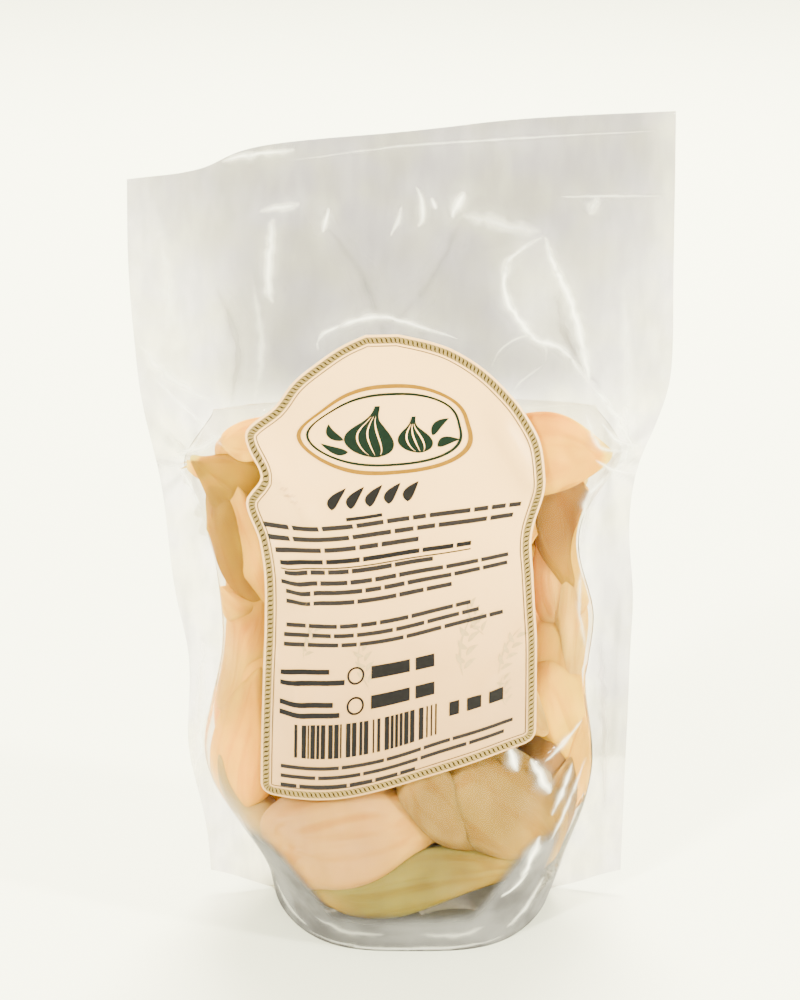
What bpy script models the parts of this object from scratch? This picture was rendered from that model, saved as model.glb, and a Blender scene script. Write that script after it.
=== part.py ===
"""Clear stand-up pouch of pickled garlic cloves, sealed, with an arched label on its front.

Metres, +Z up, front towards -Y. The origin is at the centre of the footprint, on the surface it stands on.
The pouch is one closed solid of film and contents; the label is a thin shell just clear of its front.
"""

import math

import bmesh
import bpy
from mathutils import Matrix, Vector

MM = 0.001

# Sizes of the flat pouch and of its seals, in millimetres.
HEIGHT = 187.5
FLANGE = 0.9
TOP_SEAL = 17.5
CORNER_LIFT = 5
BASE_RING = 1.3
GUSSET_RISE = 2.5
GUSSET_STEP = 2.6
GUSSET_SAG_START = 7.0
GUSSET_SAG_SPAN = 16.0
SEAL_EASE = 5.0

# Outlines seen from the front, each a list of (height, reach from the middle).
FILM_LEFT = [(0, 46), (26.5, 47), (46.5, 48.5), (66, 50), (86, 52.5), (103, 54.5), (117, 56), (133, 58),
             (147, 59), (178.5, 58)]
FILM_RIGHT = [(0, 53), (31.5, 53), (75.5, 53), (94, 51.5), (107.5, 53), (118, 56.5), (130, 59), (157.5, 58.5),
              (187.5, 57.5)]
FILL_LEFT = [(0, 31), (8, 32.5), (14, 35), (26.5, 42), (36, 44.5), (50, 44), (68, 42), (85.5, 43),
             (99.5, 46.5), (109, 49.5), (116, 46), (123, 41.5), (134.5, 44), (187.5, 49.5)]
FILL_RIGHT = [(0, 36), (13, 40.5), (24.5, 44.5), (36, 46), (55.5, 43.5), (73, 44.5), (88, 40.5), (97, 41.5),
              (104, 46), (110, 50), (117, 47.5), (123, 43), (134.5, 46), (187.5, 50)]
# Height of the top edge, by the distance from the left film edge to the right one.
TOP_EDGE = [(-1.0, 173.5), (-0.74, 176), (-0.6, 179.5), (-0.4, 181.5), (0, 183), (0.44, 185.5), (1.0, 187.5)]

# Half the depth of the bag at its middle, by height: the contents first, then the slack film above them.
HALF_DEPTH = [(0, 28), (10.5, 29), (24.5, 27.5), (39.5, 24.5), (55.5, 21), (82, 15.5), (99.5, 11.5),
              (112.5, 8.5), (123, 6), (134.5, 4), (148, 2.5), (161, 1.5), (170, 0), (192, 0)]
# How square the bag's plan is, by height: a high figure is a rounded box, 2 is a plain oval.
SQUARENESS = [(0, 3.4), (26.5, 2.9), (70.5, 2.3), (114.5, 2.0), (189, 2.0)]

PLAN_POWER = 0.78
# How far the fullest place of the front is moved to the left, by height, as a share of half the width.
FRONT_SKEW = [(0, 0.0), (22, 0.08), (44, 0.24), (105.5, 0.26), (123, 0.1), (189, 0.0)]

# Cloves that press the film out: middle across and up, half length, half width, tilt in degrees, and how far.
# A tilt of 0 lies across, and a positive one lifts the right end.
FRONT_CLOVES = [
    (-13, 24, 20, 16, 12, 2.3),
    (24, 30, 19.5, 15, -38, 2.1),
    (3.5, 10.5, 23, 6, 14, 1.1),
    (-34.5, 44, 15, 9, 84, 1.8),
    (36, 46.5, 15, 8, -62, 1.9),
    (-9, 53, 18.5, 12.5, 22, 1.9),
    (17.5, 60.5, 17.5, 11.5, -30, 1.8),
    (-32.5, 72, 16, 9, 70, 1.8),
    (36, 72, 15, 8, 78, 1.8),
    (-7, 80, 16.5, 11.5, -18, 1.9),
    (16.5, 90, 16, 10.5, 34, 1.7),
    (-39.5, 97.5, 15, 7, 66, 1.6),
    (37, 106.5, 13, 9, 24, 1.6),
    (-16.5, 102, 15, 9.5, 28, 1.8),
    (3.5, 115.5, 16, 9, -14, 1.6),
]
BACK_CLOVES = [
    (12.5, 22, 20, 15, -14, 2.1),
    (-22, 26.5, 17.5, 13, 40, 2.1),
    (33.5, 44, 15, 9.5, 80, 1.9),
    (3.5, 48.5, 17.5, 12.5, 20, 1.8),
    (-31.5, 53.5, 16, 9.5, -70, 1.9),
    (23, 70.5, 16.5, 10.5, -34, 1.8),
    (-8, 73, 16.5, 11.5, 14, 1.8),
    (-33.5, 83.5, 15, 9, 64, 1.6),
    (5.5, 96, 16, 10.5, -24, 1.8),
    (33.5, 97, 14, 9, 70, 1.6),
    (-21, 104.5, 15, 9.5, 20, 1.6),
    (14, 114.5, 14, 8, 10, 1.2),
]
# How far the film falls back between cloves, and the depth of contents at which they show in full.
CLOVE_GAP = 0.7
FULL_RELIEF_DEPTH = 8.0

# The label seen from the front: its two sides as (height, reach), ruffled where the film is creased under it,
# and its foot as (distance across, height), which sags to the left.
LABEL_LEFT = [(36, 32), (57, 31.5), (82, 30.5), (94, 31.5), (103, 34.5), (109, 31), (118, 34.5), (124, 28),
              (130, 23.5), (135.5, 16.5), (138, 12.5), (140, 8)]
LABEL_RIGHT = [(36, 30.5), (67, 30.5), (84.5, 29.5), (94, 29), (104, 31.5), (109, 31.5), (115.5, 30.5),
               (120.5, 28), (125.5, 24.5), (132, 18), (136.5, 11), (138.5, 5.5), (140, -1)]
LABEL_FOOT = [(-32.5, 38), (-24.5, 37.5), (-16, 38), (-7, 39.5), (9, 43), (23, 45.5), (31.5, 46.5)]
LABEL_TOP = 140
LABEL_CORNER = 2.5
LABEL_THICK = 0.4
LABEL_GAP = 0.35
LABEL_START = 60.0

FILL_COLUMNS = 32
SEAL_COLUMNS = 3
ROWS = 46
GUSSET_CUTS = 6
LABEL_COLUMNS = 20
LABEL_ROWS = 36


def smooth(t):
    """0 to 1 with soft ends, as t goes from 0 to 1."""
    t = min(1.0, max(0.0, t))
    return t * t * (3 - 2 * t)


def read(table, at):
    """The value of a table of (place, value) at a place, softly joined between its entries."""
    if at <= table[0][0]:
        return table[0][1]
    for i in range(len(table) - 1):
        low, low_value = table[i]
        high, high_value = table[i + 1]
        if at > high:
            continue
        before = table[max(i - 1, 0)]
        after = table[min(i + 2, len(table) - 1)]
        span = high - low
        slope_low = (high_value - before[1]) / (high - before[0]) * span
        slope_high = (after[1] - low_value) / (after[0] - low) * span
        t = (at - low) / span
        return (
            (2 * t ** 3 - 3 * t * t + 1) * low_value
            + (t ** 3 - 2 * t * t + t) * slope_low
            + (3 * t * t - 2 * t ** 3) * high_value
            + (t ** 3 - t * t) * slope_high
        )
    return table[-1][1]


def crowded(even):
    """Moves evenly spread places between 0 and 1 closer together at both ends."""
    return 0.4 * even + 0.6 * (1 - math.cos(math.pi * even)) / 2


def column_x(column, z):
    """Where a column of points is at height z: a few are on each side seal, the rest span the contents."""
    left = -read(FILL_LEFT, z)
    right = read(FILL_RIGHT, z)
    if column < SEAL_COLUMNS:
        edge = -read(FILM_LEFT, z)
        return edge + (left - edge) * column / SEAL_COLUMNS
    past = column - SEAL_COLUMNS - FILL_COLUMNS
    if past > 0:
        edge = read(FILM_RIGHT, z)
        return right + (edge - right) * past / SEAL_COLUMNS
    return left + (right - left) * crowded((column - SEAL_COLUMNS) / FILL_COLUMNS)


def across_share(column, z):
    """How far a column is between the two film edges at height z, from -1 to 1."""
    left = -read(FILM_LEFT, z)
    right = read(FILM_RIGHT, z)
    return 2 * (column_x(column, z) - left) / (right - left) - 1


def bottom_z(column):
    """Height of the bottom edge, which lifts towards the two sealed corners."""
    return CORNER_LIFT * smooth((abs(across_share(column, 0)) - 0.66) / 0.34)


def swell(cloves, x, z):
    """How far the cloves next to this side push the film out."""
    total = 0.0
    for middle_x, middle_z, length, width, tilt, height in cloves:
        angle = math.radians(tilt)
        along = (x - middle_x) * math.cos(angle) + (z - middle_z) * math.sin(angle)
        across = (z - middle_z) * math.cos(angle) - (x - middle_x) * math.sin(angle)
        far = (along / length) ** 2 + (across / width) ** 2
        total += height * math.exp(-1.6 * far * far)
    return total


def half_depth(x, z, side):
    """Distance from the bag's middle sheet to one of its sides, without the flange."""
    left = -read(FILL_LEFT, z)
    right = read(FILL_RIGHT, z)
    place = 2 * (x - left) / (right - left) - 1
    if abs(place) >= 1:
        return 0.0
    cloves = BACK_CLOVES
    if side < 0:
        cloves = FRONT_CLOVES
        place += read(FRONT_SKEW, z) * (1 - place * place)
    plan = (1 - abs(place) ** read(SQUARENESS, z)) ** PLAN_POWER
    depth = read(HALF_DEPTH, z)
    relief = swell(cloves, x, z) - CLOVE_GAP
    return plan * (depth + relief * smooth(depth / FULL_RELIEF_DEPTH))


def middle_y(x, z):
    """Wave of the bag's middle sheet: the loose top and the slack sides aren't flat."""
    loose = smooth((z - 97) / 62)
    top = 2.8 * loose * math.sin(x / 21 + 0.6) - 1.8 * loose * math.cos(x / 41)
    slack_left = smooth((-x - 30) / 19) * smooth((z - 35) / 35) * (1 - smooth((z - 132) / 35))
    slack_right = smooth((x - 37) / 16) * smooth((z - 35) / 35) * (1 - smooth((z - 123) / 35))
    return top + 3.0 * slack_left * math.sin(z / 7.2) + 1.9 * slack_right * math.sin(z / 8.4 + 1.2)


def pouch_point(column, v, side):
    """A point of the pouch: v runs from 0 at the foot to 1 at the top, side is -1 in front and 1 behind."""
    low = bottom_z(column)
    top = read(TOP_EDGE, across_share(column, HEIGHT))
    z = low + (top - low) * v
    x = column_x(column, z)
    below_seal = smooth((top - TOP_SEAL - z) / SEAL_EASE)
    depth = half_depth(x, z, side) * below_seal
    return Vector((x, middle_y(x, z) + side * (FLANGE / 2 + depth), z))


def new_object(name, bm, parts, material):
    """Puts a bmesh into the scene as a named, smoothly shaded object."""
    bmesh.ops.recalc_face_normals(bm, faces=bm.faces[:])
    mesh = bpy.data.meshes.new(name)
    bm.to_mesh(mesh)
    bm.free()
    mesh.shade_smooth()
    mesh.materials.append(material)
    obj = bpy.data.objects.new(name, mesh)
    parts.objects.link(obj)
    return obj


def make_material(name, colour, roughness, alpha=1.0):
    """A Principled material with the colour, roughness and clearness of one sub-part."""
    material = bpy.data.materials.new(name)
    material.use_nodes = True
    shader = material.node_tree.nodes["Principled BSDF"]
    shader.inputs["Base Color"].default_value = (*colour, 1.0)
    shader.inputs["Roughness"].default_value = roughness
    shader.inputs["Metallic"].default_value = 0.0
    shader.inputs["Alpha"].default_value = alpha
    return material


def gusset_height(column, share, half):
    """Rise of the base film above the bottom edge: a flat ring, a step up, and a belly that sags back."""
    inside = (1 - abs(share)) * half
    step = smooth((inside - BASE_RING) / GUSSET_STEP)
    sag = smooth((inside - GUSSET_SAG_START) / GUSSET_SAG_SPAN)
    return bottom_z(column) + GUSSET_RISE * step * (1 - 0.7 * sag)


def gusset_share(row, half):
    """Place of one row of base points between the front edge at -1 and the back edge at 1."""
    last = GUSSET_CUTS + 1
    even = 2 * row / last - 1
    if half < BASE_RING + GUSSET_STEP + 1:
        return even
    if row in (1, last - 1):
        return math.copysign(1 - BASE_RING / half, even)
    if row in (2, last - 2):
        return math.copysign(1 - (BASE_RING + GUSSET_STEP) / half, even)
    return even * 0.55


def make_pouch(parts, material):
    """The bag: one sheet extruded to a front and a back, both shaped, with the base film let in below."""
    columns = FILL_COLUMNS + 2 * SEAL_COLUMNS
    bm = bmesh.new()
    bmesh.ops.create_grid(bm, x_segments=columns, y_segments=ROWS, size=1.0)
    pushed = bmesh.ops.extrude_face_region(bm, geom=bm.faces[:])["geom"]
    for element in pushed:
        if isinstance(element, bmesh.types.BMVert):
            element.co.z = 1.0
    across = [
        edge for edge in bm.edges
        if abs(edge.verts[0].co.z - edge.verts[1].co.z) > 0.5 and edge.verts[0].co.y < -0.999
    ]
    bmesh.ops.subdivide_edges(bm, edges=across, cuts=GUSSET_CUTS, use_grid_fill=True)
    for vert in bm.verts:
        column = round((vert.co.x + 1) / 2 * columns)
        v = (vert.co.y + 1) / 2
        row = round(vert.co.z * (GUSSET_CUTS + 1))
        front = pouch_point(column, v, -1)
        back = pouch_point(column, v, 1)
        if row == 0:
            point = front
        elif row == GUSSET_CUTS + 1:
            point = back
        else:
            half = (back.y - front.y) / 2
            share = gusset_share(row, half)
            point = front.lerp(back, (share + 1) / 2)
            point.z = gusset_height(column, share, half)
        vert.co = point * MM
    return new_object("pouch", bm, parts, material)


def label_edge(table, foot, height):
    """Reach of one side of the label, with its lower corner rounded above a foot at the given height."""
    above = height - foot
    cut = 0.0
    if above < LABEL_CORNER:
        cut = LABEL_CORNER - math.sqrt(LABEL_CORNER ** 2 - (LABEL_CORNER - above) ** 2)
    return read(table, height) - cut


def label_place(across, up):
    """Front view place (x, z) on the label: across runs from -1 to 1, and up from 0 at its foot to 1."""
    low_left = LABEL_FOOT[0][1]
    low_right = LABEL_FOOT[-1][1]
    left = -label_edge(LABEL_LEFT, low_left, low_left + (LABEL_TOP - low_left) * up)
    right = label_edge(LABEL_RIGHT, low_right, low_right + (LABEL_TOP - low_right) * up)
    x = left + (right - left) * (across + 1) / 2
    foot = read(LABEL_FOOT, x)
    return x, foot + (LABEL_TOP - foot) * up


def make_label(parts, pouch, material):
    """The label: a flat sheet of its outline, laid on the front of the pouch and given its thickness."""
    bm = bmesh.new()
    bmesh.ops.create_grid(bm, x_segments=LABEL_COLUMNS, y_segments=LABEL_ROWS, size=1.0)
    for vert in bm.verts:
        x, z = label_place(vert.co.x, crowded((vert.co.y + 1) / 2))
        vert.co = Vector((x, -LABEL_START, z)) * MM
    label = new_object("label", bm, parts, material)
    if label.data.polygons[0].normal.y > 0:
        label.data.flip_normals()
    lay = label.modifiers.new("lay on the film", "SHRINKWRAP")
    lay.target = pouch
    lay.wrap_method = "PROJECT"
    lay.use_project_y = True
    lay.use_positive_direction = True
    lay.use_negative_direction = False
    lay.wrap_mode = "ABOVE_SURFACE"
    lay.offset = LABEL_GAP * MM
    thick = label.modifiers.new("thickness", "SOLIDIFY")
    thick.thickness = LABEL_THICK * MM
    thick.offset = 1.0
    return label


def centre_footprint(pouch, label):
    """Moves both parts so that the pouch's outline seen from above is centred on the origin."""
    low = [min(vert.co[axis] for vert in pouch.data.vertices) for axis in range(3)]
    high = [max(vert.co[axis] for vert in pouch.data.vertices) for axis in range(3)]
    shift = Matrix.Translation((-(low[0] + high[0]) / 2, -(low[1] + high[1]) / 2, -low[2]))
    pouch.data.transform(shift)
    label.data.transform(shift)


def main():
    for obj in list(bpy.data.objects):
        bpy.data.objects.remove(obj)
    parts = bpy.data.collections.new("pickled garlic pouch")
    bpy.context.scene.collection.children.link(parts)
    film = make_material("film and garlic", (0.89, 0.68, 0.42), 0.2, 0.9)
    paper = make_material("label paper", (0.88, 0.78, 0.66), 0.45)
    pouch = make_pouch(parts, film)
    label = make_label(parts, pouch, paper)
    centre_footprint(pouch, label)


main()
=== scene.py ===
"""A sealed clear stand-up pouch of pickled garlic cloves in brine, with an arched label on its front."""

import math
import random

import bmesh
import bpy
from mathutils import Matrix, Vector, noise
from mathutils.bvhtree import BVHTree


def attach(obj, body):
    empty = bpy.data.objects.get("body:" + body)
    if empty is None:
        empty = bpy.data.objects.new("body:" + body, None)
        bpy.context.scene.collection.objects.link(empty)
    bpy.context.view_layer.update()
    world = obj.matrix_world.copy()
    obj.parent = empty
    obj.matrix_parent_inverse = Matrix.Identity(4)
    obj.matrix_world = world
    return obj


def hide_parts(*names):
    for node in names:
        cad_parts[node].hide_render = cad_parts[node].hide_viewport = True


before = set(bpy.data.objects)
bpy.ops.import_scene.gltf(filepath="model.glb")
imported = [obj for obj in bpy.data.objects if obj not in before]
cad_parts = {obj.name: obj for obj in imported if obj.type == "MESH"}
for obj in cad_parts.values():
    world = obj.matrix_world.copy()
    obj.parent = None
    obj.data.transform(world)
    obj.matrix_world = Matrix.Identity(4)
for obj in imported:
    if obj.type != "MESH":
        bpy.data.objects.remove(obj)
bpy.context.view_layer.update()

MM = 0.001

# Camera, set from the photograph: it looks down a little at a pouch less than half a metre away.
CAMERA_DISTANCE = 0.44
CAMERA_TILT = math.radians(20)
CAMERA_AIM = Vector((-0.0005, 0.0, 0.1003))
CAMERA_LENS = 70.2
CAMERA_SENSOR = 36.0

# In metres: half the thickness of the CAD model's welded seals and of the film's, over how much more half
# depth the one passes into the other, and the half depth from which the film is slack all over.
SEALED_HALF = 0.00045
FILM_HALF = 0.00008
THIN_TO = 0.0028
SLACK_TO = 0.004

# The brine, in metres: its level, its gap inside the film, and the half depth under which there is none.
BRINE_LEVEL = 0.1228
BRINE_INSET = 0.00025
FLAT_LIMIT = 0.00012

# Points nearer than this are one, in metres, and edges that turn by more than this are sharp.
WELD = 0.00001
SHARP = math.radians(60)

# In metres: how far from the pouch's middle a flat piece stands before it is laid, how far off the film the
# creases and the label lie, the label's thickness, and how near the floor a crease may come.
STAND_OFF = 0.060
CREASE_OFF = 0.00006
LABEL_OFF = 0.00012
LABEL_THICK = 0.00012
FLOOR_GAP = 0.0001

# Places of the print, in millimetres, are on a flat label of this half width and height.
LABEL_HALF = 31.0
LABEL_TALL = 102.0

# The rope border and the thin line inside it: distances from the label's outline in millimetres.
ROPE_NEAR = 0.5
ROPE_FAR = 1.95
LINE_NEAR = ROPE_FAR + 0.45
LINE_FAR = ROPE_FAR + 0.62
BORDER_STEP = 0.5
STRAND_STEP = 1.02

# Outline of the label seen from the front, in millimetres: two sides as (height, reach), and its foot.
# Outline of the label seen from the front, in millimetres: two sides as (height, reach), and its foot.
LABEL_LEFT = [(36, 32), (57, 31.5), (82, 30.5), (94, 31.5), (103, 34.5), (109, 31), (118, 34.5), (124, 28),
              (130, 23.5), (135.5, 16.5), (138, 12.5), (140, 8)]
LABEL_RIGHT = [(36, 30.5), (67, 30.5), (84.5, 29.5), (94, 29), (104, 31.5), (109, 31.5), (115.5, 30.5),
               (120.5, 28), (125.5, 24.5), (132, 18), (136.5, 11), (138.5, 5.5), (140, -1)]
LABEL_FOOT = [(-32.5, 38), (-24.5, 37.5), (-16, 38), (-7, 39.5), (9, 43), (23, 45.5), (31.5, 46.5)]
LABEL_TOP = 140.0
LABEL_CORNER = 2.5

# Cloves: middle across and up in millimetres, layer (-1 at the front film, 0 in the middle, 1 at the back),
# length, width, thickness, tilt in degrees where 0 lies across and more lifts the right end, and tint.
CLOVES = [
    (-38.5, 104.5, -1, 19, 17, 10, 160, "olive"),
    (-36.8, 89.0, -1, 34, 13.0, 11, -61, "olive"),
    (-45.0, 107.3, -1, 14, 6, 5, 176, "peach"),
    (-31.5, 116.5, -1, 17, 10, 7, 16, "peach"),
    (-38.5, 76.5, -1, 15, 7, 7, 176, "peach"),
    (40.5, 84, -1, 24, 13, 12, 80, "peach"),
    (31.5, 112, -1, 25, 21, 11, 4, "gold"),
    (36, 95, -1, 27, 15, 12, -78, "shaded"),
    (-33.5, 92, -1, 34, 14, 10, -66, "peach"),
    (-13, 27, -1, 38, 27, 20, 12, "pink"),
    (23, 30, -1, 37, 25, 20, -36, "tan"),
    (2, 17.0, -1, 46, 16, 16, 8, "yellow"),
    # Painted shade: this clove is tan to stand in for the shade in the gap between the lower cloves.
    (9, 33, -1, 28, 15, 15, -52, "tan"),
    (33.5, 25, -1, 27, 14, 14, 60, "tan"),
    (38.5, 33, -1, 25, 13, 14, 66, "gold"),
    (-34, 26, -1, 28, 14, 15, 122, "pink"),
    (-26, 17, -1, 24, 12, 12, -40, "yellow"),
    (-37.5, 42, -1, 34, 20, 18, 84, "gold"),
    (38.5, 47, -1, 34, 18, 18, -66, "gold"),
    (-9, 52, -1, 36, 22, 17, 20, "peach"),
    (17, 60, -1, 34, 21, 16, -30, "pink"),
    (-37, 65, -1, 31, 17, 16, 72, "gold"),
    (39.5, 72, -1, 33, 17, 16, 84, "cream"),
    (-7, 80, -1, 33, 20, 15, -18, "pink"),
    (16, 88, -1, 32, 19, 14, 34, "peach"),
    (-20, 102, -1, 30, 18, 13, 30, "yellow"),
    (3, 112, -1, 32, 18, 10, -12, "peach"),
    (-35, 55, 0, 34, 20, 22, 82, "gold"),
    (37, 58, 0, 34, 20, 22, -82, "peach"),
    (-22, 84, 0, 32, 17, 16, 66, "peach"),
    (37, 84, 0, 32, 18, 17, 84, "cream"),
    (-34, 33, 0, 34, 20, 24, 96, "gold"),
    (35, 33, 0, 34, 20, 24, -96, "tan"),
    (0, 68, 0, 34, 20, 16, 10, "tan"),
    (2, 92, 0, 34, 20, 14, -14, "tan"),
    (27, 106, 0, 28, 16, 10, 40, "peach"),
    (-30, 108, 0, 26, 14, 9, -30, "gold"),
    (-20, 18, 0, 30, 17, 17, -32, "pink"),
    (22, 18, 0, 32, 17, 17, 24, "tan"),
    (0, 16, 0, 34, 16, 16, 0, "tan"),
    (0, 34, 0, 34, 20, 17, -60, "peach"),
    (-18, 40, 0, 32, 18, 16, 30, "yellow"),
    (20, 46, 0, 32, 18, 16, 70, "pink"),
    (12, 28, 1, 38, 25, 19, -14, "pink"),
    (-20, 32, 1, 33, 22, 18, 40, "peach"),
    (33, 44, 1, 31, 18, 15, 80, "gold"),
    (3, 48, 1, 34, 22, 17, 20, "peach"),
    (-31, 53, 1, 31, 18, 15, -70, "pink"),
    (23, 70, 1, 33, 19, 14, -34, "peach"),
    (-8, 73, 1, 33, 20, 14, 14, "yellow"),
    (-25, 84, 1, 30, 16, 12, 64, "peach"),
    (5, 96, 1, 32, 19, 12, -24, "pink"),
    (34, 97, 1, 28, 16, 10, 70, "gold"),
    (-21, 105, 1, 30, 17, 10, 20, "peach"),
    (-37, 71, 1, 27, 15, 13, 98, "peach"),
    (40, 66, 1, 28, 15, 13, -84, "pink"),
    (-35, 97, 1, 26, 13, 10, -52, "pink"),
    (13, 109, 1, 28, 14, 9, 8, "peach"),
    (-4, 23, 1, 32, 18, 16, 6, "pink"),
    (6, 62, 1, 28, 15, 12, -70, "peach"),
    (-3, 57, 1, 32, 20, 15, 75, "pink"),
    (-8, 54, 0, 34, 22, 20, 20, "peach"),
    (14, 74, 0, 34, 20, 18, 50, "peach"),
]
CLOVE_SCALE = 1.12

# The three forms of clove: name, how far it bends in degrees, how it tapers, and how full its inner side is.
CLOVE_SHAPES = [("clove_long", 34, -0.30, 0.72), ("clove_round", 16, -0.18, 0.88),
                ("clove_bent", 52, -0.42, 0.66)]

# Shares of a clove's length that are its tip and its heel, the most of the room at its place that its
# thickness may take, and the share of it between the brine's skin and its middle in an outer layer.
CLOVE_TIP = 0.28
CLOVE_HEEL = 0.16
MOST_OF_ROOM = 0.66
PRESSED = 0.46

# Seeds of the cloves' random draws, of the noise on their surfaces, and of the print's random draws.
CLOVE_SEED = 11
NOISE_SEED = 5
PRINT_SEED = 29

# How far inside the brine's skin the first clove stays, and how much more each next one, in metres.
FIRST_GAP = 0.0003
GAP_STEP = 0.00003

# Colours of the cloves, and those that their tips and heels turn to.
TIP_TINT = (0.46, 0.24, 0.006)
HEEL_TINT = (0.50, 0.26, 0.050)
TINTS = {
    "pink": (0.405, 0.245, 0.066),
    "peach": (0.76, 0.370, 0.014),
    "gold": (0.72, 0.345, 0.008),
    "cream": (0.68, 0.350, 0.045),
    "tan": (0.225, 0.130, 0.032),
    "shaded": (0.165, 0.074, 0.010),
    "yellow": (0.175, 0.137, 0.031),
    "olive": (0.280, 0.132, 0.0004),
}

# Across a crease's strip of painted glint: place in half widths, and how strong the glint is there.
RIBBON = [(-6.0, 0.0), (-4.0, 0.03), (-2.2, 0.12), (-1.1, 0.50), (0.0, 1.0), (1.1, 0.50), (2.2, 0.12),
          (4.0, 0.03), (6.0, 0.0)]

# The share of a crease's length over which it ends, the seeds of the two sheets' ripples, how much higher the
# crumpled base film reaches at the back, and how much fuller the lower left is, both in millimetres.
CREASE_END = 0.18
FRONT_SEED = 1.0
BACK_SEED = 5.0
BACK_GUSSET_HIGHER = 7
FULLER = 2.7

# The corners of contents drawn out towards the side seals, in millimetres.
EAR_REACH = 47.0
EAR_HEIGHT = 108.5
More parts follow.
